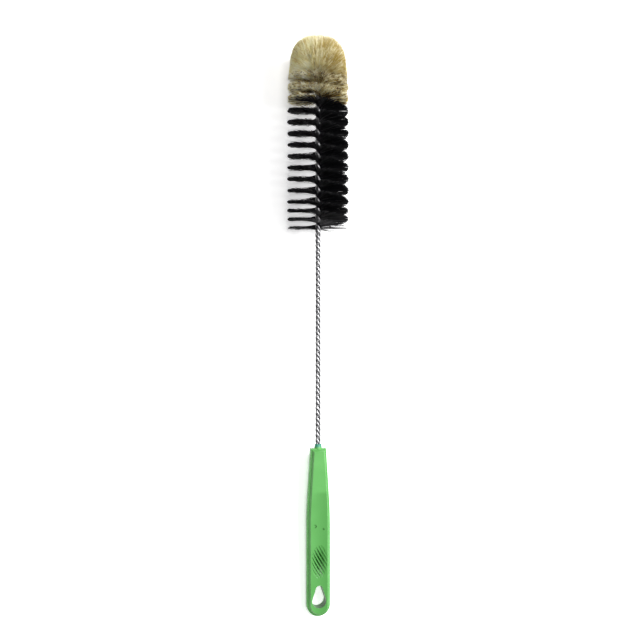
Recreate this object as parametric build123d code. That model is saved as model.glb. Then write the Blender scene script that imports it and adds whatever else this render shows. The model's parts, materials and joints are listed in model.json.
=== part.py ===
from build123d import *
import math
import os

# Bottle brush with a twisted wire stem, lying at rest on a flat surface.
#
# Every piece is modelled in the brush's own frame: the stem's axis is +Y, the handle's tail is
# at Y 0, the tip of the brush is at Y brush_length, and the handle's broad front face looks up
# along +Z. The last step lays the brush down: the handle's tail and the lowest bristles of the
# head touch the surface at Z 0, so the axis rises a few degrees towards the tip.

# ---- driving dimensions, millimetres ----
brush_length = 400.0

handle_length = 115.4
handle_tail_half_width = 8.1
handle_top_half_width = 5.35
grip_end_y = 62.0                # the handle's sides are parallel below this
taper_start_y = 80.0             # and straight again, but tapering, above this
handle_core_thickness = 4.8
rim_rounding = 0.6
ledge_width = 1.0                # step round each raised panel
panel_rise = 1.9
panel_slope_width = 1.1
nipple_length = 3.0
nipple_base_radius = 2.7
nipple_top_radius = 2.2

grip_hollow_depth = 0.6          # shallow finger hollow along the front panel
grip_hollow_half_width = 5.6
grip_hollow_end_y = 85.0         # its floor starts to rise here

hang_hole_wide_radius = 4.9
hang_hole_narrow_radius = 2.4
hang_hole_low_y = 6.0
hang_hole_high_y = 21.5

thumb_pad_y = 38.0
thumb_pad_half_length = 11.6
thumb_pad_half_width = 5.6
thumb_pad_depth = 1.7
rib_angle = 31.0                 # between the ribs and the handle's long axis
rib_width = 0.8
rib_spacing = 2.0
rib_height = 1.0
cross_rib_width = 0.5
cross_rib_spacing = 3.2
cross_rib_height = 0.3

# shallow round marks that the mould's ejector pins leave: x, y, radius
ejector_marks = [(-3.1, 62.3, 1.2), (2.75, 60.2, 0.8)]
ejector_mark_depth = 0.15

# two wires, each doubled over at the tip, so that the stem has four strands
wire_radius = 0.72
strand_x = 0.775                 # a strand's centre, along the fan of bristles
strand_z = 0.915                 # and square to it, on either side of the bristles
stem_pitch = 14.9                # length of one full turn
lead_in_pitch = 11.9
head_pitch = 15.7
socket_depth = 30.0
socket_clearance = 0.05
wire_twist_end_y = 369.0
wire_loop_y = 371.8              # centre of the fold at the tip
fold_turn = 180

head_start_y = 266.0
lead_in_end_y = 284.9
black_end_y = 352.0
blond_end_y = 369.0
black_radius = 21.4
blond_radius = 21.2
bristle_core_radius = 2.1        # the fan of bristles starts here, outside the wire
web_thickness = 0.3              # the bristles' middles, pinched between the strands
black_fan_angle = 50.0
blond_fan_angle = 76.0
fan_level_y = 348.2              # here the fan points along fan_level_angle
fan_level_angle = 12.5

tuft_foot_y = 371.5
tuft_rim_y = 376.5
tuft_rim_radius = 20.4
tuft_shoulder = (18.6, 387.6)    # radius and place along the brush
tuft_crown = (13.6, 396.0)
tuft_socket_top_y = 374.4
tuft_socket_inset = 0.1

pressed_depth = 0.8              # how far the surface presses the lowest bristle tips in

# ---- worked out from them ----
panel_height = handle_core_thickness / 2 + panel_rise
strand_offset = math.hypot(strand_x, strand_z)
rest_run = head_start_y
rest_rise = black_radius - pressed_depth - panel_height
rest_angle = math.degrees(math.atan2(rest_rise, rest_run))
from_base = (Align.CENTER, Align.CENTER, Align.MIN)
from_top = (Align.CENTER, Align.CENTER, Align.MAX)
eps = 0.01


def fan_angle_at(y):
    """Direction of the fan of bristles at y, in degrees from +X towards +Z."""
    head_y = max(y, lead_in_end_y)
    angle = fan_level_angle + (head_y - fan_level_y) * 360.0 / head_pitch
    if y < lead_in_end_y:
        angle += (max(y, head_start_y) - lead_in_end_y) * 360.0 / lead_in_pitch
    if y < head_start_y:
        angle += (y - head_start_y) * 360.0 / stem_pitch
    return angle


def section_plane(y):
    """Plane across the brush at y, its x axis along the fan of bristles there."""
    angle = math.radians(fan_angle_at(y))
    return Plane((0, y, 0), x_dir=(math.cos(angle), 0, math.sin(angle)), z_dir=(0, 1, 0))


def twisted(section, y_from, y_to):
    """A section drawn on section_plane(y_from), carried to y_to with the brush's left-hand twist."""
    turn = fan_angle_at(y_to) - fan_angle_at(y_from)
    return Solid.extrude_linear_with_rotation(
        section, center=(0, y_from, 0), normal=(0, y_to - y_from, 0), angle=-turn
    )


# ---- the handle ----
def handle_outline():
    """Half of the handle's outline, from the tail's middle up to the top's middle, mirrored."""
    slope = 2 * (handle_tail_half_width - handle_top_half_width)
    slope /= 2 * handle_length - grip_end_y - taper_start_y
    bend_x = handle_top_half_width + slope * (handle_length - taper_start_y)
    quarter = CenterArc((0, handle_tail_half_width), handle_tail_half_width, -90, 90)
    side = Line(quarter @ 1, (handle_tail_half_width, grip_end_y))
    bend = TangentArc(side @ 1, (bend_x, taper_start_y), tangent=(0, 1))
    taper = Line(bend @ 1, (handle_top_half_width, handle_length))
    top = Line(taper @ 1, (0, handle_length))
    half = Curve() + [quarter, side, bend, taper, top]
    return make_face(half + mirror(half, Plane.YZ))


def handle_panel(outline):
    """Both raised panels as one solid, with sloped sides."""
    foot = offset(outline, amount=-ledge_width, kind=Kind.INTERSECTION)
    slope_angle = math.degrees(math.atan2(panel_slope_width, panel_rise))
    rise = Pos(0, 0, handle_core_thickness / 2) * foot
    upper = extrude(rise, panel_rise, dir=(0, 0, 1), taper=slope_angle)
    lower = mirror(upper, Plane.XY)
    return upper + lower + extrude(foot, handle_core_thickness / 2, both=True)


def nipple():
    """Short cone where the wire leaves the handle."""
    top = Plane((0, handle_length, 0), x_dir=(1, 0, 0), z_dir=(0, 1, 0))
    cone = Cone(nipple_base_radius, nipple_top_radius, nipple_length, align=from_base)
    root = Cylinder(nipple_base_radius, ledge_width, align=from_top)
    return top * (cone + root)


def teardrop_hole():
    """The hang hole: round and wide towards the tail, narrow towards the stem."""
    low = Pos(0, hang_hole_low_y + hang_hole_wide_radius)
    high = Pos(0, hang_hole_high_y - hang_hole_narrow_radius)
    outline = make_hull(
        (low * Circle(hang_hole_wide_radius) + high * Circle(hang_hole_narrow_radius)).edges()
    )
    return extrude(outline, handle_core_thickness, both=True)


def scoop(raised):
    """Volume that hollows out the thumb pad, lifted by raised above the pad's floor."""
    depth = thumb_pad_depth
    long_radius = (thumb_pad_half_length ** 2 + depth ** 2) / (2 * depth)
    cross_radius = (thumb_pad_half_width ** 2 + depth ** 2) / (2 * depth)
    ring = Torus(long_radius - cross_radius, cross_radius)
    centre_z = panel_height - depth + long_radius + raised
    return Pos(0, thumb_pad_y, centre_z) * Rot(0, 90, 0) * ring


def ribs(angle, width, spacing, height):
    """Parallel bars across the thumb pad, with their tops height above its floor."""
    reach = thumb_pad_half_length + thumb_pad_half_width
    bars = []
    count = int(thumb_pad_half_length / spacing) + 1
    for step in range(-count, count + 1):
        bar = Pos(step * spacing, 0, 0) * Box(width, 2 * reach, 4 * thumb_pad_depth)
        bars.append(Pos(0, thumb_pad_y, panel_height) * Rot(0, 0, angle) * bar)
    return [bar - scoop(height) for bar in bars]


def thumb_pad_cut():
    """The hollow of the thumb pad, less the crossed ribs that stand in it."""
    pad_box = Box(4 * thumb_pad_half_width, 3 * thumb_pad_half_length, 4 * thumb_pad_depth)
    cut = scoop(0) & Pos(0, thumb_pad_y, panel_height) * pad_box
    cut -= ribs(rib_angle, rib_width, rib_spacing, rib_height)
    cut -= ribs(-rib_angle, cross_rib_width, cross_rib_spacing, cross_rib_height)
    return cut


def grip_hollow():
    """Shallow finger hollow that runs along the front panel from the tail, with a rounded end."""
    half = grip_hollow_half_width
    radius = (half ** 2 + grip_hollow_depth ** 2) / (2 * grip_hollow_depth)
    bar = Rot(-90, 0, 0) * Cylinder(radius, grip_hollow_end_y, align=from_base)
    end = Pos(0, grip_hollow_end_y, 0) * Sphere(radius)
    return Pos(0, 0, panel_height - grip_hollow_depth + radius) * (bar + end)


def ejector_mark(x, y, radius):
    return Pos(x, y, panel_height - grip_hollow_depth - ejector_mark_depth) * Cylinder(
        radius, panel_height, align=from_base
    )


def make_handle():
    outline = handle_outline()
    core = extrude(outline, handle_core_thickness / 2, both=True)
    rim = [e for e in core.edges() if abs(abs(e.center().Z) - handle_core_thickness / 2) < eps]
    core = fillet(rim, rim_rounding)
    handle = core + handle_panel(outline) + nipple()
    handle -= teardrop_hole()
    handle -= grip_hollow()
    handle -= thumb_pad_cut()
    handle -= [ejector_mark(*mark) for mark in ejector_marks]
    socket_length = socket_depth + nipple_length
    socket_radius = strand_offset + wire_radius + socket_clearance
    socket = Plane((0, handle_length - socket_depth, 0), z_dir=(0, 1, 0)) * Cylinder(
        socket_radius, socket_length, align=from_base
    )
    return handle - socket


# ---- the two wires ----
def strand_section(y, side, leg):
    """One strand cut straight across at y: a circle, stretched by the slant of the twist."""
    slant = math.atan2(math.tau * strand_offset, head_pitch)
    oval = Ellipse(wire_radius, wire_radius / math.cos(slant))
    round_angle = math.degrees(math.atan2(leg * strand_z, side * strand_x))
    return section_plane(y) * Rot(0, 0, round_angle) * Pos(strand_offset, 0) * oval


def make_wire(side):
    """One wire: two strands that twist together, joined by a round fold at the tip."""
    stops = [handle_length - socket_depth + socket_clearance, head_start_y, lead_in_end_y, wire_twist_end_y]
    pieces = []
    for leg in (1, -1):
        for y_from, y_to in zip(stops, stops[1:]):
            pieces.append(twisted(strand_section(y_from, side, leg).face(), y_from, y_to))
        end = strand_section(wire_twist_end_y, side, leg)
        pieces.append(extrude(end, wire_loop_y - wire_twist_end_y, dir=(0, 1, 0)))
    fold_start = Pos(0, wire_loop_y - wire_twist_end_y, 0) * strand_section(wire_twist_end_y, side, 1)
    fold_axis = Axis((0, wire_loop_y, 0), section_plane(wire_twist_end_y).x_dir)
    pieces.append(revolve(fold_start, fold_axis, fold_turn))
    wire = pieces[0]
    for piece in pieces[1:]:
        wire = wire + piece
    return wire


# ---- the bristles and the tip tuft ----
def fan_section(radius, fan_angle):
    """Two opposite fans of bristles, joined by the thin web that the strands pinch."""
    half_web = web_thickness / 2
    half_fan = math.radians(fan_angle / 2)
    web_reach = math.sqrt(bristle_core_radius ** 2 - half_web ** 2)
    web_angle = math.degrees(math.asin(half_web / bristle_core_radius))
    fan_degrees = math.degrees(half_fan)
    turn = fan_degrees - web_angle
    sides = []
    for mid in (0, 180):
        inner_up = CenterArc((0, 0), bristle_core_radius, mid + web_angle, turn)
        ray_up = PolarLine(inner_up @ 1, radius - bristle_core_radius, angle=mid + fan_degrees)
        outer = CenterArc((0, 0), radius, mid + fan_degrees, -2 * fan_degrees)
        ray_down = Line(outer @ 1, (outer @ 1) * (bristle_core_radius / radius))
        inner_down = CenterArc((0, 0), bristle_core_radius, mid - fan_degrees, turn)
        sides += [inner_up, ray_up, outer, ray_down, inner_down]
    webs = [
        Line((web_reach, half_web), (-web_reach, half_web)),
        Line((-web_reach, -half_web), (web_reach, -half_web)),
    ]
    return make_face(Curve() + sides + webs)


def make_fan(y_from, y_to, radius, fan_angle):
    section = section_plane(y_from) * fan_section(radius, fan_angle)
    return twisted(section.face(), y_from, y_to)


def make_black_bristles():
    lead_in = make_fan(head_start_y, lead_in_end_y, black_radius, black_fan_angle)
    main = make_fan(lead_in_end_y, black_end_y, black_radius, black_fan_angle)
    return lead_in + main


def make_blond_bristles():
    return make_fan(black_end_y, blond_end_y, blond_radius, blond_fan_angle)


def make_tip_tuft():
    """Domed tuft on the tip: hair held in the wire's fold and fanned out all round."""
    dome = Spline(
        [(tuft_rim_radius, tuft_rim_y), tuft_shoulder, tuft_crown, (0, brush_length)],
        tangents=[(0, 1), (-1, 0)],
    )
    side = Line((bristle_core_radius, tuft_foot_y), (tuft_rim_radius, tuft_rim_y))
    foot = Line((0, tuft_foot_y), (bristle_core_radius, tuft_foot_y))
    axis = Line((0, brush_length), (0, tuft_foot_y))
    tuft = revolve(make_face(Curve() + [foot, side, dome, axis]), Axis.Y)
    socket_depth_y = tuft_socket_top_y - tuft_foot_y
    socket = Plane((0, tuft_foot_y, 0), z_dir=(0, 1, 0)) * Cylinder(
        bristle_core_radius - tuft_socket_inset, socket_depth_y, align=from_base
    )
    return tuft - socket


# ---- laying the brush down ----
def lay_down(piece, location):
    placed = location * piece
    if placed.bounding_box().min.Z > -eps:
        return placed
    under = Box(4 * black_radius, 3 * brush_length, 2 * black_radius, align=from_top)
    return placed - under


def main():
    pieces = {
        "handle": make_handle(),
        "stem_wire_one": make_wire(1),
        "stem_wire_two": make_wire(-1),
        "black_bristles": make_black_bristles(),
        "blond_bristles": make_blond_bristles(),
        "tip_tuft": make_tip_tuft(),
    }
    tilt = Rot(rest_angle, 0, 0)
    tail_bottom = (tilt * pieces["handle"]).bounding_box().min.Z
    raised = Pos(0, 0, -tail_bottom) * tilt
    laid = {name: lay_down(piece, raised) for name, piece in pieces.items()}
    box = Compound(children=[Compound(piece.solids()) for piece in laid.values()]).bounding_box()
    centred = Pos(0, -box.center().Y, 0)
    os.makedirs("parts", exist_ok=True)
    for name, piece in laid.items():
        export_step(centred * Compound(piece.solids()), f"parts/{name}.step")
    print("axis rises", rest_angle, "degrees; axis at tail", -tail_bottom, "origin at y", box.center().Y)


main()
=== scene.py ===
"""The looks of a bottle brush that lies at rest: its bristles, hair, wire and moulded handle.

Lengths are written in millimetres and turned to metres by MM. Pieces are first laid out in the
brush's own frame, whose +Y runs along the wire from the handle's tail and whose +Z is the
normal of the handle's broad front face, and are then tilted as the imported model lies.
"""

import json
import math

import bpy
from mathutils import Matrix, Vector

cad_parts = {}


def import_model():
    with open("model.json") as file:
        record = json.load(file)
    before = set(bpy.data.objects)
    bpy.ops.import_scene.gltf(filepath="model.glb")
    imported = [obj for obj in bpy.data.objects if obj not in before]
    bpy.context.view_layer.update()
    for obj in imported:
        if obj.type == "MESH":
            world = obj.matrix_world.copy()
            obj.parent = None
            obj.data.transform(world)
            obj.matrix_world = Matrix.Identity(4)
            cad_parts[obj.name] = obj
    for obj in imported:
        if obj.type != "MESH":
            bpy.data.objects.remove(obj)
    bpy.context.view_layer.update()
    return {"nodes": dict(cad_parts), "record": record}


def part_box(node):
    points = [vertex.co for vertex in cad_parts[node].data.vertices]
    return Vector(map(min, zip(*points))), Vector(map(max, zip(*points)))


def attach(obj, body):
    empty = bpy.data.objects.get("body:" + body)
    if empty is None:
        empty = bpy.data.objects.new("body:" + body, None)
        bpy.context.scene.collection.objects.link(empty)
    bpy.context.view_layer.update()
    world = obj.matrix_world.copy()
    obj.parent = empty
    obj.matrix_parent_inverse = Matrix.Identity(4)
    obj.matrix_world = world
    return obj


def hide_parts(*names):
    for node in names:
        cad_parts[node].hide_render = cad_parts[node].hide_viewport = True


MM = 0.001

# the brush, along its own +Y
HANG_HOLE_ALONG = 10.9
NIPPLE_LENGTH = 3.0
HOLE_MIDDLE_ALONG = 13.7
HOLE_HALF_LENGTH = 8.0
HOLE_HALF_WIDTH = 4.95
PAD_ALONG = 38.0
PAD_HALF_LENGTH = 11.6
GRIP_END_ALONG = 85.0
PANEL_HEIGHT = 4.3
PANEL_HALF_WIDTH = 5.4
FRONT_DEPTHS = (2.2, 2.8)
GROOVE_DEPTHS = (0.8, 1.5)
HOLE_RIM_DEPTHS = (0.3, 0.9)
BACK_DEPTHS = (7.9, 8.3)
WIRE_START = 90.0
HEAD_START = 266.0
LEAD_IN_END = 284.9
BLACK_SPLIT = 309.0
BLACK_END = 354.9
HAIR_START = 354.5
HAIR_END = 371.5
FOLD_ALONG = 371.8
TUFT_ROOT = 373.0

# the left-hand twist
STEM_PITCH = 14.9
LEAD_IN_PITCH = 11.9
HEAD_PITCH = 15.7
LEVEL_ALONG = 348.2
LEVEL_ANGLE = math.radians(12.5)

WIRE_RADIUS = 0.72
STRAND_ALONG_FAN = 0.775
STRAND_OFF_FAN = 0.915
HEAD_RADIUS = 21.4

# the camera
VIEW_DISTANCE = 600.0
VIEW_ROLL = math.radians(12.5)
VIEW_SPAN = 442.2
EYE_ALONG = 190.0
VIEW_ALONG = 203.9
VIEW_SIDE = 1.4
SENSOR = 36.0


# ---------------------------------------------------------------- trees of nodes
class Tree:
    """A node tree being built, with short calls for its nodes and links."""

    def __init__(self, tree):
        self.tree = tree

    def feed(self, socket, value):
        """Links a socket to another node's output, or gives it a plain value."""
        if isinstance(value, bpy.types.NodeSocket):
            self.tree.links.new(value, socket)
        elif value is not None:
            socket.default_value = value

    def put(self, kind, feeds=None, **settings):
        node = self.tree.nodes.new(kind)
        for name, value in settings.items():
            setattr(node, name, value)
        for key, value in (feeds or {}).items():
            self.feed(node.inputs[key], value)
        return node

    def math(self, operation, a, b=None, c=None):
        node = self.put("ShaderNodeMath", {0: a, 1: b, 2: c}, operation=operation)
        return node.outputs[0]

    def mix(self, share, a, b):
        """Number between a and b."""
        node = self.put("ShaderNodeMix", data_type="FLOAT", clamp_factor=False)
        for socket, value in zip((node.inputs[0], node.inputs[2], node.inputs[3]), (share, a, b)):
            self.feed(socket, value)
        return node.outputs[0]

    def blend(self, share, first, second):
        """Colour between first and second."""
        node = self.put("ShaderNodeMix", data_type="RGBA")
        for socket, value in zip((node.inputs[0], node.inputs[6], node.inputs[7]), (share, first, second)):
            self.feed(socket, value)
        return node.outputs[2]

    def product(self, first, *others):
        for other in others:
            first = self.math("MULTIPLY", first, other)
        return first

    def within(self, value, middle, half, edge):
        """1 where value is within half of middle, and 0 past a soft edge; half and edge in mm."""
        apart = self.math("ABSOLUTE", self.math("SUBTRACT", value, middle))
        return self.ease(apart, half * MM, (half + edge) * MM, 1.0, 0.0)

    def ease(self, value, low, high, to_low=0.0, to_high=1.0):
        """Smooth step of value from to_low, at low, to to_high, at high."""
        feeds = {"Value": value, "From Min": low, "From Max": high, "To Min": to_low, "To Max": to_high}
        node = self.put("ShaderNodeMapRange", feeds, interpolation_type="SMOOTHSTEP")
        return node.outputs[0]

    def point(self, x, y, z):
        return self.put("ShaderNodeCombineXYZ", {0: x, 1: y, 2: z}).outputs[0]

    def noise(self, place, scale, detail=1.0):
        """Smooth noise, mostly between -1 and 1."""
        node = self.put("ShaderNodeTexNoise", {"Vector": place, "Scale": scale, "Detail": detail})
        return self.math("MULTIPLY_ADD", node.outputs[0], 4.0, -2.0)


class ShapeTree(Tree):
    """A Geometry Nodes tree with named inputs, for something that repeats or follows a rule."""

    def __init__(self, name, inputs):
        super().__init__(bpy.data.node_groups.new(name, "GeometryNodeTree"))
        kinds = {int: "NodeSocketInt", float: "NodeSocketFloat", bpy.types.Material: "NodeSocketMaterial"}
        face = self.tree.interface
        face.new_socket("Geometry", in_out="OUTPUT", socket_type="NodeSocketGeometry")
        self.sockets = {}
        for label, kind in inputs.items():
            self.sockets[label] = face.new_socket(label, in_out="INPUT", socket_type=kinds[kind])
        self.entry = self.put("NodeGroupInput")

    def given(self, label):
        return self.entry.outputs[label]

    def random(self, low, high, draw):
        """A random number for each element, from the tree's seed and the number of the draw."""
        seed = self.put("FunctionNodeIntegerMath", {0: self.given("Seed"), 1: draw}, operation="ADD")
        node = self.put("FunctionNodeRandomValue", {"Seed": seed.outputs[0]}, data_type="FLOAT")
        self.feed(node.inputs[2], low)
        self.feed(node.inputs[3], high)
        return node.outputs[1]

    def store(self, geometry, label, value):
        node = self.put(
            "GeometryNodeStoreNamedAttribute", {"Geometry": geometry, "Name": label}, data_type="FLOAT"
        )
        self.feed(node.inputs["Value"], value)
        return node.outputs[0]

    def recall(self, label):
        return self.put("GeometryNodeInputNamedAttribute", {"Name": label}, data_type="FLOAT").outputs[0]

    def close(self, geometry, material):
        """Ends the tree with real geometry that carries its material."""
        real = self.put("GeometryNodeRealizeInstances", {0: geometry})
        done = self.put("GeometryNodeSetMaterial", {"Geometry": real.outputs[0], "Material": material})
        self.tree.links.new(done.outputs[0], self.put("NodeGroupOutput").inputs[0])

    def grow(self, name, values):
        """Runs the tree with the given values and returns a plain mesh object, laid in its place."""
        seedling = bpy.data.objects.new(name + "_seedling", bpy.data.meshes.new(name))
        bpy.context.scene.collection.objects.link(seedling)
        modifier = seedling.modifiers.new("shape", "NODES")
        modifier.node_group = self.tree
        for label, value in values.items():
            modifier[self.sockets[label].identifier] = value
        evaluated = seedling.evaluated_get(bpy.context.evaluated_depsgraph_get())
        mesh = bpy.data.meshes.new_from_object(evaluated)
        bpy.data.objects.remove(seedling)
        mesh.name = name
        piece = bpy.data.objects.new(name, mesh)
        bpy.context.scene.collection.objects.link(piece)
        return piece


def add_fan_angle(tree, along):
    """Direction of the fan of bristles at a place along the brush, from +X towards +Z."""
    head_rate = math.tau / HEAD_PITCH
    lead_in_rate = math.tau / LEAD_IN_PITCH
    stem_rate = math.tau / STEM_PITCH
    from_level = tree.math("SUBTRACT", along, LEVEL_ALONG)
    angle = tree.math("MULTIPLY_ADD", from_level, head_rate, LEVEL_ANGLE)
    changes = ((LEAD_IN_END, lead_in_rate - head_rate), (HEAD_START, stem_rate - lead_in_rate))
    for place, rate in changes:
        short = tree.math("MINIMUM", tree.math("SUBTRACT", along, place), 0.0)
        angle = tree.math("MULTIPLY_ADD", short, rate, angle)
    return angle


def add_laying_down(tree, geometry, brush):
    """Tilts geometry from the brush's frame, in millimetres, to where the brush lies, in metres."""
    node = tree.put("GeometryNodeTransform", {"Geometry": geometry, "Scale": (MM, MM, MM)})
    node.inputs["Rotation"].default_value = brush.to_euler()
    node.inputs["Translation"].default_value = brush.to_translation()
    return node.outputs[0]


def add_floor(tree, geometry, clearance):
    """Bends whatever would pass through the surface along it."""
    place = tree.put("GeometryNodeInputPosition")
    parts = tree.put("ShaderNodeSeparateXYZ", {0: place.outputs[0]})
    height = tree.math("MAXIMUM", parts.outputs[2], clearance)
    moved = tree.point(parts.outputs[0], parts.outputs[1], height)
    return tree.put("GeometryNodeSetPosition", {"Geometry": geometry, "Position": moved}).outputs[0]


KEPT_DRAW = 99
STRAND_POINTS = 5
FLOOR_CLEARANCE = 0.05


def add_strands(tree, count, attributes, steps, kept=None):
    """Curves of a few points each, one for each root, which carry the given numbers."""
    roots = tree.put("GeometryNodeMeshLine", {"Count": count}).outputs[0]
    for label, value in attributes.items():
        roots = tree.store(roots, label, value)
    if kept is not None:
        roots = tree.store(roots, "kept", kept)
        missing = tree.math("LESS_THAN", tree.recall("kept"), tree.random(0.0, 1.0, KEPT_DRAW))
        feeds = {"Geometry": roots, "Selection": missing}
        roots = tree.put("GeometryNodeDeleteGeometry", feeds).outputs[0]
    line = tree.put("GeometryNodeCurvePrimitiveLine", {"End": (0, 0, 1)})
    thread = tree.put("GeometryNodeResampleCurve", {"Curve": line.outputs[0], "Count": steps})
    planted = tree.put("GeometryNodeInstanceOnPoints", {"Points": roots, "Instance": thread.outputs[0]})
    return tree.put("GeometryNodeRealizeInstances", {0: planted.outputs[0]}).outputs[0]


def add_bold(tree, tone, choice_draw, end_draw):
    """Picks a few bold strands, and moves each one's tone far towards pale or dark."""
    bold = tree.math("LESS_THAN", tree.random(0.0, 1.0, choice_draw), tree.given("Bold"))
    extreme = tree.math("MULTIPLY_ADD", tree.math("ROUND", tree.random(0.0, 1.0, end_draw)), 1.6, -0.8)
    return bold, tree.math("MULTIPLY_ADD", bold, extreme, tone)


def add_thickness(tree, strands, radius, share, tip_share, sides=3):
    """Gives strands a round section that tapers to tip_share of its radius."""
    thickness = tree.math("MULTIPLY", radius, tree.mix(share, 1.0, tip_share))
    ring = tree.put("GeometryNodeCurvePrimitiveCircle", {"Resolution": sides, "Radius": 1.0})
    feeds = {"Curve": strands, "Profile Curve": ring.outputs[0], "Scale": thickness, "Fill Caps": True}
    return tree.put("GeometryNodeCurveToMesh", feeds).outputs[0]


# ---------------------------------------------------------------- bristles in spiral fans
FAN_INPUTS = {
    "Count": int, "Start": float, "End": float, "Thin Foot": float, "Thin Top": float,
    "Radius": float, "Trim": float, "Rounding": float, "Spread": float, "Loose": float,
    "Loose Tone": float, "Lean": float, "Curl": float, "Clump": float, "Wave": float, "Bold": float,
    "Thickness": float, "Seed": int, "Material": bpy.types.Material,
}
CORE_RADIUS = 0.9
OPEN_RADIUS = 6.0
CLUMPS_PER_MM = 4.0
WAVES_PER_MM = 0.7
# steps that keep one noise from repeating another
FANS_APART = 40.0
FAN_LIFT = 30.0


def fan_tree(brush):
    """Bristles pinched between the wire's strands, which stand out in two spiral fans."""
    tree = ShapeTree("spiral_fans", FAN_INPUTS)
    start = tree.random(tree.given("Start"), tree.given("End"), 1)
    side = tree.math("ROUND", tree.random(0.0, 1.0, 3))
    place_in_fan = tree.random(-1.0, 1.0, 4)
    loose = tree.math("LESS_THAN", tree.random(0.0, 1.0, 5), tree.given("Loose"))
    width = tree.math("MULTIPLY", tree.given("Spread"), tree.math("MULTIPLY_ADD", loose, 1.3, 1.0))
    spread = tree.math("MULTIPLY", width, place_in_fan)

    # neighbours hang together in clumps, and each fan's edge waves a little
    half_place = tree.math("MULTIPLY", place_in_fan, 0.5)
    root_place = tree.point(start, tree.math("MULTIPLY", side, FANS_APART), half_place)
    feeds = {0: root_place, 1: (0, 0, FAN_LIFT)}
    lifted = tree.put("ShaderNodeVectorMath", feeds, operation="ADD").outputs[0]
    wave = tree.math("MULTIPLY", tree.given("Wave"), tree.noise(root_place, WAVES_PER_MM))
    clump = tree.math("MULTIPLY", tree.given("Clump"), tree.noise(root_place, CLUMPS_PER_MM))
    turned = tree.math("MULTIPLY", tree.noise(lifted, CLUMPS_PER_MM), 0.08)
    own_lean = tree.math("MULTIPLY", tree.given("Lean"), tree.random(-1.0, 1.0, 6))
    lean = tree.math("ADD", own_lean, tree.math("ADD", wave, clump))
    spread = tree.math("ADD", spread, turned)
    curl = tree.math("MULTIPLY", tree.given("Curl"), tree.random(-1.0, 1.0, 7))

    trim = tree.math("MULTIPLY", tree.given("Trim"), tree.random(-1.0, 0.3, 8))
    trim = tree.math("MULTIPLY_ADD", tree.noise(lifted, WAVES_PER_MM), 0.35, trim)
    rounded = tree.math("MULTIPLY", tree.given("Rounding"), tree.math("POWER", place_in_fan, 2.0))
    reach = tree.math("SUBTRACT", tree.math("ADD", tree.given("Radius"), trim), rounded)
    reach = tree.math("MINIMUM", reach, tree.given("Radius"))
    foot_end = tree.math("ADD", tree.given("Start"), tree.given("Thin Foot"))
    top_start = tree.math("SUBTRACT", tree.given("End"), tree.given("Thin Top"))
    kept = tree.ease(start, tree.given("Start"), foot_end, 0.1, 1.0)
    kept = tree.math("MULTIPLY", kept, tree.ease(start, top_start, tree.given("End"), 1.0, 0.1))

    shade = tree.math("MULTIPLY", tree.noise(root_place, CLUMPS_PER_MM), 0.2)
    tone = tree.math("ADD", tree.random(0.0, 1.0, 9), shade)
    # loose strands fill the gaps between fans and are darker: partly the hair's own brown, partly painted
    # shade in the gaps
    tone = tree.math("MULTIPLY_ADD", loose, tree.given("Loose Tone"), tone)
    bold, tone = add_bold(tree, tone, 10, 12)
    attributes = {
        "start": start, "half_turn": tree.math("MULTIPLY", side, math.pi), "spread": spread,
        "lean": lean, "curl": curl, "reach": reach, "tone": tone, "bold": bold,
    }
    strands = add_strands(tree, tree.given("Count"), attributes, STRAND_POINTS, kept)
    share = tree.put("GeometryNodeSplineParameter").outputs[0]
    strands = tree.store(strands, "share", share)
    outward = tree.math("POWER", share, 1.4)
    radius = tree.mix(outward, CORE_RADIUS, tree.recall("reach"))
    opened = tree.ease(radius, CORE_RADIUS, OPEN_RADIUS)
    bend = tree.math("MULTIPLY", tree.recall("curl"), tree.math("POWER", share, 2.5))
    angle = tree.math("ADD", add_fan_angle(tree, tree.recall("start")), tree.recall("half_turn"))
    angle = tree.math("ADD", angle, tree.math("MULTIPLY", tree.recall("spread"), opened))
    angle = tree.math("ADD", angle, bend)
    along = tree.math("MULTIPLY_ADD", tree.recall("lean"), outward, tree.recall("start"))
    across = tree.math("MULTIPLY", radius, tree.math("COSINE", angle))
    upward = tree.math("MULTIPLY", radius, tree.math("SINE", angle))
    place = tree.point(across, along, upward)
    strands = tree.put("GeometryNodeSetPosition", {"Geometry": strands, "Position": place}).outputs[0]
    thicker = tree.math("MULTIPLY_ADD", tree.recall("bold"), 1.6, 1.0)
    thickness = tree.math("MULTIPLY", tree.given("Thickness"), thicker)
    skins = add_thickness(tree, strands, thickness, share, 0.7)
    laid = add_floor(tree, add_laying_down(tree, skins, brush), FLOOR_CLEARANCE * MM)
    tree.close(laid, tree.given("Material"))
    return tree


# ---------------------------------------------------------------- the domed tuft
TUFT_INPUTS = {
    "Count": int, "Top Length": float, "Side Length": float, "Widest": float, "Root Radius": float,
    "Trim": float, "Curl": float, "Clump": float, "Bold": float, "Thickness": float, "Seed": int,
    "Material": bpy.types.Material,
}
NARROW = math.radians(22)
WIDE = math.radians(80)
TUFT_CLUMPS = 7.0
TUFT_LIFT = 9.0
SIDEWAYS_CROWDING = 0.3


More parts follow.
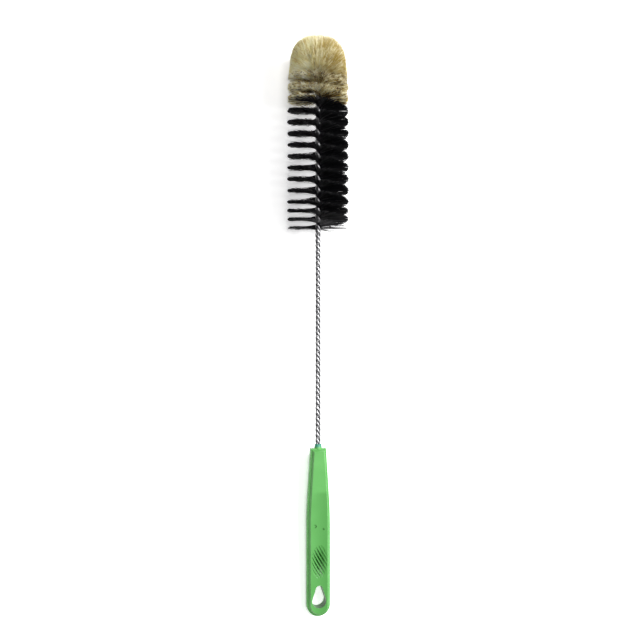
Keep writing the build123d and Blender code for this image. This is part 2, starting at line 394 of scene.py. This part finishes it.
def tuft_tree(brush):
    """Hair that fans out all round from the wire's fold, trimmed to a dome."""
    tree = ShapeTree("domed_tuft", TUFT_INPUTS)
    level = tree.random(tree.math("COSINE", tree.given("Widest")), 1.0, 1)
    polar = tree.math("ARCCOSINE", level)
    turn = tree.random(0.0, math.tau, 3)
    # the fold opens sideways, so the hair is thinner above and below it
    doubled = tree.math("SINE", tree.math("MULTIPLY", turn, 2.0))
    turn = tree.math("MULTIPLY_ADD", doubled, -SIDEWAYS_CROWDING, turn)
    length = tree.ease(polar, NARROW, WIDE, tree.given("Top Length"), tree.given("Side Length"))
    length = tree.math("MULTIPLY_ADD", tree.given("Trim"), tree.random(-1.0, 0.3, 2), length)

    # neighbours lean together, towards the same place
    sideways = tree.math("SINE", polar)
    heading = tree.point(
        tree.math("MULTIPLY", sideways, tree.math("COSINE", turn)),
        tree.math("MULTIPLY", sideways, tree.math("SINE", turn)),
        level,
    )
    lifted = tree.put("ShaderNodeVectorMath", {0: heading, 1: (0, 0, TUFT_LIFT)}, operation="ADD").outputs[0]
    clump = tree.math("MULTIPLY", tree.given("Clump"), tree.noise(heading, TUFT_CLUMPS))
    own_bow = tree.math("MULTIPLY", tree.given("Curl"), tree.random(-1.0, 1.0, 4))
    own_sway = tree.math("MULTIPLY", tree.given("Curl"), tree.random(-1.0, 1.0, 5))
    sway = tree.math("MULTIPLY_ADD", tree.noise(lifted, TUFT_CLUMPS), tree.given("Clump"), own_sway)
    shade = tree.math("MULTIPLY_ADD", tree.noise(lifted, 15.0), 0.35, 0.25)
    # paler round the tuft's lower rim: partly the pale hair there, partly a painted sheen
    shade = tree.math("ADD", shade, tree.ease(polar, math.radians(65), math.radians(88), 0.0, -0.3))
    bold, tone = add_bold(tree, tree.math("ADD", tree.random(0.0, 0.6, 6), shade), 7, 8)
    attributes = {
        "polar": polar, "round": turn, "length": length, "curl": tree.math("ADD", own_bow, clump),
        "sway": sway, "tone": tone, "bold": bold,
    }
    strands = add_strands(tree, tree.given("Count"), attributes, STRAND_POINTS)
    share = tree.put("GeometryNodeSplineParameter").outputs[0]
    strands = tree.store(strands, "share", share)
    bow = tree.math("MULTIPLY", share, tree.math("SUBTRACT", 1.0, share))
    lift = tree.ease(share, 0.0, 0.45, -0.35, 0.0)
    polar = tree.math("MULTIPLY", tree.recall("polar"), tree.math("ADD", 1.0, lift))
    polar = tree.math("MULTIPLY_ADD", tree.recall("curl"), bow, polar)
    turn = tree.math("MULTIPLY_ADD", tree.recall("sway"), bow, tree.recall("round"))
    reach = tree.math("MULTIPLY", tree.recall("length"), share)
    radius = tree.math("MULTIPLY", reach, tree.math("SINE", polar))
    radius = tree.math("MAXIMUM", radius, tree.given("Root Radius"))
    along = tree.math("MULTIPLY_ADD", reach, tree.math("COSINE", polar), TUFT_ROOT)
    across = tree.math("MULTIPLY", radius, tree.math("COSINE", turn))
    upward = tree.math("MULTIPLY", radius, tree.math("SINE", turn))
    place = tree.point(across, along, upward)
    strands = tree.put("GeometryNodeSetPosition", {"Geometry": strands, "Position": place}).outputs[0]
    thicker = tree.math("MULTIPLY_ADD", tree.recall("bold"), 2.8, 1.0)
    thickness = tree.math("MULTIPLY", tree.given("Thickness"), thicker)
    skins = add_thickness(tree, strands, thickness, share, 0.3)
    laid = add_floor(tree, add_laying_down(tree, skins, brush), FLOOR_CLEARANCE * MM)
    tree.close(laid, tree.given("Material"))
    return tree


# ---------------------------------------------------------------- the twisted wire
WIRE_INPUTS = {"Rings": int, "Sides": int, "Side": float, "Seed": int, "Material": bpy.types.Material}


def wire_tree(brush):
    """One wire, doubled over in a round fold at the tip and twisted with its twin to the left."""
    tree = ShapeTree("doubled_wire", WIRE_INPUTS)
    quarter = STRAND_OFF_FAN * math.pi / 2
    half_length = FOLD_ALONG - WIRE_START + quarter
    line = tree.put("GeometryNodeCurvePrimitiveLine", {"End": (0, 0, 1)})
    feeds = {"Curve": line.outputs[0], "Count": tree.given("Rings")}
    path = tree.put("GeometryNodeResampleCurve", feeds).outputs[0]
    share = tree.put("GeometryNodeSplineParameter").outputs[0]
    travel = tree.math("MULTIPLY", tree.math("MULTIPLY_ADD", share, 2.0, -1.0), half_length)
    distance = tree.math("ABSOLUTE", travel)
    fold = tree.math("MULTIPLY", tree.math("MINIMUM", distance, quarter), 1 / STRAND_OFF_FAN)
    straight = tree.math("MAXIMUM", tree.math("SUBTRACT", distance, quarter), 0.0)
    along = tree.math("MULTIPLY_ADD", tree.math("COSINE", fold), STRAND_OFF_FAN, FOLD_ALONG)
    along = tree.math("SUBTRACT", along, straight)
    off_fan = tree.math("MULTIPLY", tree.math("SINE", fold), tree.math("SIGN", travel))
    off_fan = tree.math("MULTIPLY", off_fan, STRAND_OFF_FAN)
    along_fan = tree.math("MULTIPLY", tree.given("Side"), STRAND_ALONG_FAN)
    place = tree.point(along_fan, 0.0, off_fan)
    angle = add_fan_angle(tree, tree.math("MINIMUM", along, FOLD_ALONG))
    turned = tree.put("ShaderNodeVectorRotate", {"Vector": place}, rotation_type="Y_AXIS")
    tree.feed(turned.inputs["Angle"], tree.math("MULTIPLY", angle, -1.0))
    feeds = {0: turned.outputs[0], 1: tree.point(0.0, along, 0.0)}
    moved = tree.put("ShaderNodeVectorMath", feeds, operation="ADD")
    feeds = {"Geometry": path, "Position": moved.outputs[0]}
    path = tree.put("GeometryNodeSetPosition", feeds).outputs[0]
    skin = add_thickness(tree, path, WIRE_RADIUS, share, 1.0, tree.given("Sides"))
    smooth = tree.put("GeometryNodeSetShadeSmooth", {"Geometry": skin}).outputs[0]
    tree.close(add_laying_down(tree, smooth, brush), tree.given("Material"))
    return tree


# ---------------------------------------------------------------- materials
def new_material(name):
    material = bpy.data.materials.new(name)
    material.use_nodes = True
    tree = Tree(material.node_tree)
    shader = next(n for n in tree.tree.nodes if n.type == "BSDF_PRINCIPLED")
    return material, tree, shader


def ramp(tree, value, stops):
    """Colour ramp; stops are (place, (r, g, b))."""
    node = tree.put("ShaderNodeValToRGB", {0: value})
    bands = node.color_ramp.elements
    while len(bands) < len(stops):
        bands.new(0.5)
    for band, (place, colour) in zip(bands, stops):
        band.position = place
        band.color = (*colour, 1.0)
    return node.outputs[0]


def surface_grain_group():
    """Fine unevenness of a made surface: a mask that drifts, and a height for bump."""
    tree = Tree(bpy.data.node_groups.new("surface_grain", "ShaderNodeTree"))
    face = tree.tree.interface
    for label in ("Drift Scale", "Grain Scale"):
        face.new_socket(label, in_out="INPUT", socket_type="NodeSocketFloat")
    for label in ("Drift", "Height"):
        face.new_socket(label, in_out="OUTPUT", socket_type="NodeSocketFloat")
    entry = tree.put("NodeGroupInput")
    place = tree.put("ShaderNodeTexCoord").outputs["Object"]
    exit_node = tree.put("NodeGroupOutput")
    for label, scale, detail in (("Drift", "Drift Scale", 4.0), ("Height", "Grain Scale", 3.0)):
        feeds = {"Vector": place, "Scale": entry.outputs[scale], "Detail": detail}
        noise = tree.put("ShaderNodeTexNoise", feeds)
        tree.tree.links.new(noise.outputs[0], exit_node.inputs[label])
    return tree.tree


def hair_streak_group():
    """Light and dark along strands: a mask from each strand's tone and the place along it."""
    tree = Tree(bpy.data.node_groups.new("hair_streak", "ShaderNodeTree"))
    face = tree.tree.interface
    for label in ("Middle", "Patches", "Root Shade", "Tip Contrast", "Root Contrast"):
        face.new_socket(label, in_out="INPUT", socket_type="NodeSocketFloat")
    face.new_socket("Shade", in_out="OUTPUT", socket_type="NodeSocketFloat")
    entry = tree.put("NodeGroupInput").outputs
    tone = tree.put("ShaderNodeAttribute", attribute_name="tone").outputs["Fac"]
    share = tree.put("ShaderNodeAttribute", attribute_name="share").outputs["Fac"]
    near_root = tree.ease(share, 0.15, 0.8, 1.0, 0.0)
    place = tree.put("ShaderNodeTexCoord").outputs["Object"]
    drift = tree.math("MULTIPLY_ADD", tree.noise(place, 170.0, 2.0), entry["Patches"], entry["Middle"])
    contrast = tree.mix(near_root, entry["Tip Contrast"], entry["Root Contrast"])
    shade = tree.math("MULTIPLY_ADD", tree.math("SUBTRACT", tone, 0.5), contrast, drift)
    # darker towards each strand's root: painted shade where the hair shades itself
    shade = tree.math("MULTIPLY_ADD", near_root, entry["Root Shade"], shade)
    tree.tree.links.new(shade, tree.put("NodeGroupOutput").inputs["Shade"])
    return tree.tree


def put_group(tree, group, values):
    node = tree.put("ShaderNodeGroup", node_tree=group)
    for label, value in values.items():
        tree.feed(node.inputs[label], value)
    return node


BLACK_STREAK = {
    "Middle": 0.47, "Patches": 0.06, "Root Shade": 0.0, "Tip Contrast": 1.0, "Root Contrast": 1.05,
}
# Root Shade is painted shade towards the roots
TUFT_STREAK = {
    "Middle": 0.27, "Patches": 0.2, "Root Shade": 0.1, "Tip Contrast": 0.3, "Root Contrast": 2.3,
}
FAN_HAIR_STREAK = {
    "Middle": 0.08, "Patches": 0.6, "Root Shade": 0.1, "Tip Contrast": 0.8, "Root Contrast": 1.8,
}


def black_filament(streaks):
    """Black nylon: most filaments near black, a few made lighter as painted highlights."""
    material, tree, shader = new_material("black_filament")
    shade = put_group(tree, streaks, BLACK_STREAK).outputs["Shade"]
    # the palest few filaments are painted highlights
    black, soft, glint_grey = (0.004, 0.004, 0.006), (0.008, 0.008, 0.009), (0.12, 0.12, 0.125)
    stops = [(0.0, black), (0.6, soft), (0.93, (0.012, 0.012, 0.012)), (1.0, glint_grey)]
    tree.feed(shader.inputs["Base Color"], ramp(tree, shade, stops))
    tree.feed(shader.inputs["Roughness"], tree.ease(shade, 0.0, 1.0, 0.5, 0.32))
    shader.inputs["Specular IOR Level"].default_value = 0.15
    return material


# from the palest hair to the darkest
# HAIR_LEFT is paler than HAIR_RIGHT: partly the hair's own colour, partly a painted sheen on the brush's
# left
HAIR_LEFT = [
    (0.0, (1.0, 0.99, 0.84)), (0.3, (0.88, 0.83, 0.45)), (0.6, (0.5, 0.33, 0.08)),
    (0.8, (0.16, 0.08, 0.025)), (1.0, (0.03, 0.015, 0.006)),
]
HAIR_RIGHT = [
    (0.0, (1.0, 0.96, 0.7)), (0.3, (0.53, 0.4, 0.09)), (0.6, (0.32, 0.19, 0.03)),
    (0.8, (0.15, 0.075, 0.02)), (1.0, (0.03, 0.015, 0.006)),
]
HAIR_TURN = 14.0


def natural_hair(name, streaks, values, left_stops, right_stops):
    """Natural bristle, each hair of its own tone, cooler on the brush's left than on its right, partly as a
    painted sheen.
    """
    material, tree, shader = new_material(name)
    shade = put_group(tree, streaks, values).outputs["Shade"]
    place = tree.put("ShaderNodeTexCoord").outputs["Object"]
    across = tree.put("ShaderNodeSeparateXYZ", {0: place}).outputs[0]
    # partly a painted sheen: paler towards the brush's left
    side = tree.ease(across, -HAIR_TURN * MM, HAIR_TURN * MM)
    colour = tree.blend(side, ramp(tree, shade, left_stops), ramp(tree, shade, right_stops))
    tree.feed(shader.inputs["Base Color"], colour)
    tree.feed(shader.inputs["Roughness"], tree.ease(shade, 0.0, 1.0, 0.36, 0.6))
    return material


def bright_wire(grain):
    """Bright drawn steel, faintly uneven."""
    material, tree, shader = new_material("bright_wire")
    shader.inputs["Metallic"].default_value = 1.0
    surface = put_group(tree, grain, {"Drift Scale": 240.0, "Grain Scale": 3200.0})
    drift = surface.outputs["Drift"]
    stops = [(0.3, (0.28, 0.28, 0.29)), (0.55, (0.36, 0.36, 0.37)), (0.7, (0.46, 0.46, 0.46))]
    tree.feed(shader.inputs["Base Color"], ramp(tree, drift, stops))
    tree.feed(shader.inputs["Roughness"], tree.ease(drift, 0.3, 0.7, 0.36, 0.26))
    bump = tree.put("ShaderNodeBump", {"Height": surface.outputs["Height"], "Strength": 0.12})
    bump.inputs["Distance"].default_value = 0.05 * MM
    tree.feed(shader.inputs["Normal"], bump.outputs[0])
    return material


GREEN_STOPS = [(0.3, (0.095, 0.335, 0.078)), (0.5, (0.108, 0.36, 0.092)), (0.7, (0.122, 0.385, 0.105))]
# painted shade: a bluer, darker green at the nipple, where the wire's shadow shows through
NIPPLE_SHADE_GREEN = (0.05, 0.25, 0.17, 1)
# painted shade on the grip hollow's floor
HOLLOW_SHADE_GREEN = (0.074, 0.275, 0.062, 1)
# painted shade in the thumb pad's grooves and on the hang hole's wall
RECESS_SHADE_GREEN = (0.006, 0.1, 0.003, 1)


def handle_masks(tree, brush, place):
    """Masks where shade is painted: the grip hollow's floor, and the thumb pad's grooves with the hang
    hole's wall.
    """
    parts = tree.put("ShaderNodeSeparateXYZ", {0: place}).outputs
    across, along = parts[0], parts[1]
    upward = (brush.to_3x3() @ Vector((0, 0, 1))).normalized()
    panel = upward.dot(brush @ Vector((0, 0, PANEL_HEIGHT)))
    height = tree.put("ShaderNodeVectorMath", {0: place, 1: tuple(upward)}, operation="DOT_PRODUCT")
    depth = tree.math("SUBTRACT", panel, height.outputs["Value"])
    pad, hole, grip_end = (
        (brush @ Vector((0, spot, 0))).y for spot in (PAD_ALONG, HOLE_MIDDLE_ALONG, GRIP_END_ALONG)
    )
    front, groove, rim, back = (
        [spot * MM for spot in depths]
        for depths in (FRONT_DEPTHS, GROOVE_DEPTHS, HOLE_RIM_DEPTHS, BACK_DEPTHS)
    )
    near_front = tree.ease(depth, *front, 1.0, 0.0)
    between_ledges = tree.within(across, 0.0, PANEL_HALF_WIDTH, 0.5)

    # painted shade on the grip hollow's floor, darker towards its right side
    in_grip = tree.ease(along, grip_end - 1.5 * MM, grip_end + 1.5 * MM, 1.0, 0.0)
    to_right = tree.ease(across, -7 * MM, 5.5 * MM, 0.1, 1.0)
    hollow = tree.product(in_grip, to_right, between_ledges, near_front)

    # painted shade in the thumb pad's grooves, below the rib tops, and on the hang hole's wall
    in_pad = tree.within(along, pad, PAD_HALF_LENGTH, 0.5)
    grooves = tree.product(in_pad, between_ledges, tree.ease(depth, *groove), near_front)
    in_hole = tree.product(
        tree.within(along, hole, HOLE_HALF_LENGTH, 0.4), tree.within(across, 0.0, HOLE_HALF_WIDTH, 0.15)
    )
    above_back = tree.ease(depth, *back, 0.85, 0.0)
    wall = tree.product(in_hole, tree.ease(depth, *rim), above_back)
    return hollow, tree.math("MAXIMUM", grooves, wall)


def green_plastic(grain, brush, nipple_along):
    """Moulded green plastic: satin, faintly uneven, with painted shade in its recesses and at the nipple."""
    material, tree, shader = new_material("green_plastic")
    surface = put_group(tree, grain, {"Drift Scale": 70.0, "Grain Scale": 2600.0})
    drift = surface.outputs["Drift"]
    place = tree.put("ShaderNodeTexCoord").outputs["Object"]
    along = tree.put("ShaderNodeSeparateXYZ", {0: place}).outputs[1]
    # painted shade at the nipple, where the wire's shadow shows through
    nipple_shade = tree.ease(along, nipple_along, nipple_along + 1.5 * MM)
    hollow, recesses = handle_masks(tree, brush, place)
    colour = tree.blend(nipple_shade, ramp(tree, drift, GREEN_STOPS), NIPPLE_SHADE_GREEN)
    # painted shade on the grip hollow's floor
    colour = tree.blend(hollow, colour, HOLLOW_SHADE_GREEN)
    # painted shade in the pad's grooves and on the hang hole's wall
    colour = tree.blend(recesses, colour, RECESS_SHADE_GREEN)
    tree.feed(shader.inputs["Base Color"], colour)
    tree.feed(shader.inputs["Roughness"], tree.ease(drift, 0.3, 0.7, 0.42, 0.3))
    bump = tree.put("ShaderNodeBump", {"Height": surface.outputs["Height"], "Strength": 0.2})
    bump.inputs["Distance"].default_value = 0.04 * MM
    tree.feed(shader.inputs["Normal"], bump.outputs[0])
    shader.inputs["Specular IOR Level"].default_value = 0.22
    shader.inputs["Coat Weight"].default_value = 0.06
    shader.inputs["Coat Roughness"].default_value = 0.2
    return material


# ---------------------------------------------------------------- the room
def make_floor():
    bpy.ops.mesh.primitive_plane_add(size=6)
    floor = bpy.context.object
    floor.name = "floor"
    material, _, shader = new_material("pale_floor")
    shader.inputs["Base Color"].default_value = (0.93, 0.93, 0.93, 1)
    shader.inputs["Roughness"].default_value = 0.9
    shader.inputs["Emission Color"].default_value = (1, 1, 1, 1)
    shader.inputs["Emission Strength"].default_value = 0.45
    floor.data.materials.append(material)


def make_light(name, place, size, power):
    """A round lamp that shines on the middle of the brush."""
    light = bpy.data.lights.new(name, "AREA")
    light.shape = "DISK"
    light.size = size
    light.energy = power
    lamp = bpy.data.objects.new(name, light)
    lamp.location = place
    lamp.rotation_euler = (-Vector(place)).to_track_quat("-Z", "Y").to_euler()
    bpy.context.scene.collection.objects.link(lamp)


BACKDROP = (0.85, 0.85, 0.85, 1)


def make_world():
    """Light from the brush's right, with its left dark, behind a plain backdrop for the camera."""
    world = bpy.data.worlds.new("room")
    world.use_nodes = True
    tree = Tree(world.node_tree)
    direction = tree.put("ShaderNodeTexCoord").outputs["Generated"]
    sideways = tree.put("ShaderNodeSeparateXYZ", {0: direction}).outputs[0]
    place = tree.math("MULTIPLY_ADD", sideways, 0.5, 0.5)
    stops = [(0.0, (0.01,) * 3), (0.5, (0.03,) * 3), (0.66, (0.3,) * 3), (0.8, (0.95,) * 3)]
    seen = tree.put("ShaderNodeLightPath").outputs["Is Camera Ray"]
    colour = tree.blend(seen, ramp(tree, place, stops), BACKDROP)
    tree.feed(tree.tree.nodes["Background"].inputs["Color"], colour)
    bpy.context.scene.world = world


def make_lights():
    make_light("overhead", (-0.1, 0.0, 1.3), 0.5, 8)
    make_light("key", (0.8, 0.45, 1.0), 0.3, 13)
    make_light("strip", (0.6, 0.1, 1.0), 0.45, 7)


def make_camera(brush):
    """Camera square to the wire, a little to the brush's left and nearer to its handle."""
    target = brush @ Vector((VIEW_SIDE, EYE_ALONG, 0))
    out = (brush.to_3x3() @ Vector((-math.sin(VIEW_ROLL), 0, math.cos(VIEW_ROLL)))).normalized()
    up = (brush.to_3x3() @ Vector((0, 1, 0))).normalized()
    side = up.cross(out)
    turn = Matrix((side, up, out)).transposed()
    camera = bpy.data.cameras.new("camera")
    camera.sensor_width = SENSOR
    camera.lens = SENSOR * VIEW_DISTANCE / VIEW_SPAN
    camera.shift_y = (VIEW_ALONG - EYE_ALONG) / VIEW_SPAN
    camera.clip_start = 0.05
    eye = bpy.data.objects.new("camera", camera)
    eye.matrix_world = Matrix.Translation(target + out * VIEW_DISTANCE * MM) @ turn.to_4x4()
    bpy.context.scene.collection.objects.link(eye)
    bpy.context.scene.camera = eye


# ---------------------------------------------------------------- putting it together
def brush_matrix(record):
    """From the brush's own frame, in millimetres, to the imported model's, in metres."""
    hole = next(m for m in record["mounts"] if m["name"] == "hang_hole")
    normal = Vector(hole["axis"]).normalized()
    along = Vector((0, normal.z, -normal.y))
    origin = Vector(hole["pos_m"]) - along * HANG_HOLE_ALONG * MM
    turn = Matrix((Vector((1, 0, 0)), along, normal)).transposed().to_4x4()
    return Matrix.Translation(origin) @ turn @ Matrix.Scale(MM, 4)


def settle(piece, slot, *nodes):
    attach(piece, "root")
    if nodes:
        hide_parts(*nodes)


def main():
    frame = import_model()
    brush = brush_matrix(frame["record"])
    make_camera(brush)
    make_world()
    make_lights()
    make_floor()
    bpy.context.scene.view_settings.view_transform = "Standard"

    grain = surface_grain_group()
    streaks = hair_streak_group()
    handle = frame["nodes"]["handle"]
    handle.data.materials.clear()
    nipple_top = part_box("handle")[1][1]
    handle.data.materials.append(green_plastic(grain, brush, nipple_top - NIPPLE_LENGTH * MM))

    wires = wire_tree(brush)
    steel = bright_wire(grain)
    for name, side in (("one", 1.0), ("two", -1.0)):
        values = {"Rings": 1201, "Sides": 12, "Side": side, "Seed": 1, "Material": steel}
        settle(wires.grow("twisted_wire_" + name, values), "wire_steel", "stem_wire_" + name)

    fans = fan_tree(brush)
    black = {
        "Count": 7000, "Radius": HEAD_RADIUS, "Trim": 0.7, "Rounding": 0.9, "Spread": math.radians(20),
        "Loose": 0.04, "Loose Tone": 0.0, "Lean": 0.35, "Curl": 0.05, "Clump": 0.35, "Wave": 0.3,
        "Bold": 0.0, "Thickness": 0.14, "Thin Foot": 0.01, "Thin Top": 0.01,
        "Material": black_filament(streaks),
    }
    low = {**black, "Start": HEAD_START, "End": BLACK_SPLIT, "Thin Foot": 9.0, "Seed": 11}
    high = {**black, "Start": BLACK_SPLIT, "End": BLACK_END, "Thin Top": 3.0, "Seed": 12}
    settle(fans.grow("black_bristles_low", low), "black_bristle", "black_bristles")
    settle(fans.grow("black_bristles_high", high), "black_bristle", "black_bristles")
    stray = {**black, "Start": 354.3, "End": 357.8, "Count": 1300, "Radius": 20.0, "Trim": 6.0, "Seed": 13}
    settle(fans.grow("black_bristles_stray", stray), "black_bristle", "blond_bristles")

    hair = natural_hair("fan_hair", streaks, FAN_HAIR_STREAK, HAIR_LEFT, HAIR_RIGHT)
    values = {
        **black, "Start": HAIR_START, "End": HAIR_END, "Count": 7300, "Radius": 21.2, "Trim": 1.6,
        "Spread": math.radians(26), "Loose": 0.4, "Loose Tone": 0.6, "Lean": 1.2, "Curl": 0.2,
        "Clump": 1.3, "Wave": 1.3, "Bold": 0.08, "Thickness": 0.11, "Seed": 21, "Material": hair,
    }
    settle(fans.grow("hair_fans", values), "blond_hair", "blond_bristles")

    tuft = tuft_tree(brush)
    tuft_hair = natural_hair("tuft_hair", streaks, TUFT_STREAK, HAIR_LEFT, HAIR_RIGHT)
    for name, seed in (("tuft_hair_one", 31), ("tuft_hair_two", 32)):
        values = {
            "Count": 7200, "Top Length": 27.1, "Side Length": 20.4, "Widest": math.radians(98),
            "Root Radius": 0.3, "Trim": 0.5, "Curl": 0.25, "Clump": 0.12, "Bold": 0.1,
            "Thickness": 0.1, "Seed": seed, "Material": tuft_hair,
        }
        settle(tuft.grow(name, values), "tuft_hair", "tip_tuft")


main()
